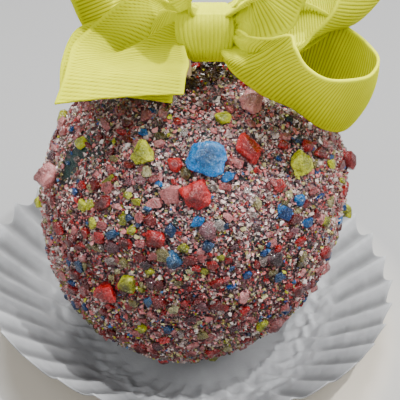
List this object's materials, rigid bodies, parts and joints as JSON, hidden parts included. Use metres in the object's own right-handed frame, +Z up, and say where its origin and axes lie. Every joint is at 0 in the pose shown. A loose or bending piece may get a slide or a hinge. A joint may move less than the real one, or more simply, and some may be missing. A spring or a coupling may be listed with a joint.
{
  "type": "toffee apple",
  "caption": "Whole apple on a stick, dipped in dark candy and rolled in crushed hard candy, with a grosgrain bow, in a pleated paper case.",
  "frame": {"origin": "centre of the paper case's flat underside, on the table", "axes": "+Z up, -Y towards the viewer (the bow's knot faces -Y and up), +X to the viewer's right"},
  "size_m": [0.1115, 0.1115, 0.1191],
  "materials": {
    "candy": "glossy dark candy covered with crushed sugar candy",
    "blue_candy": "translucent hard candy",
    "red_candy": "translucent hard candy",
    "lime_candy": "translucent hard candy",
    "pink_candy": "translucent hard candy",
    "stick": "plain light wood",
    "ribbon": "ribbed lemon-yellow grosgrain",
    "paper": "matte pleated baking paper"
  },
  "bodies": {
    "root": {"candied_apple": "candy", "lump_blue_front": "blue_candy", "lump_red_upper": "red_candy", "lump_red_middle": "red_candy", "lump_lime_right": "lime_candy", "lump_lime_left": "lime_candy", "lump_pink_top": "pink_candy", "lump_pink_left": "pink_candy", "lump_red_low": "red_candy", "lump_blue_back": "blue_candy", "lump_red_back": "red_candy", "lump_pink_back": "pink_candy", "stick": "stick", "bow_ribbon": "ribbon", "bow_knot": "ribbon", "paper_case": "paper"}
  },
  "joints": []
}
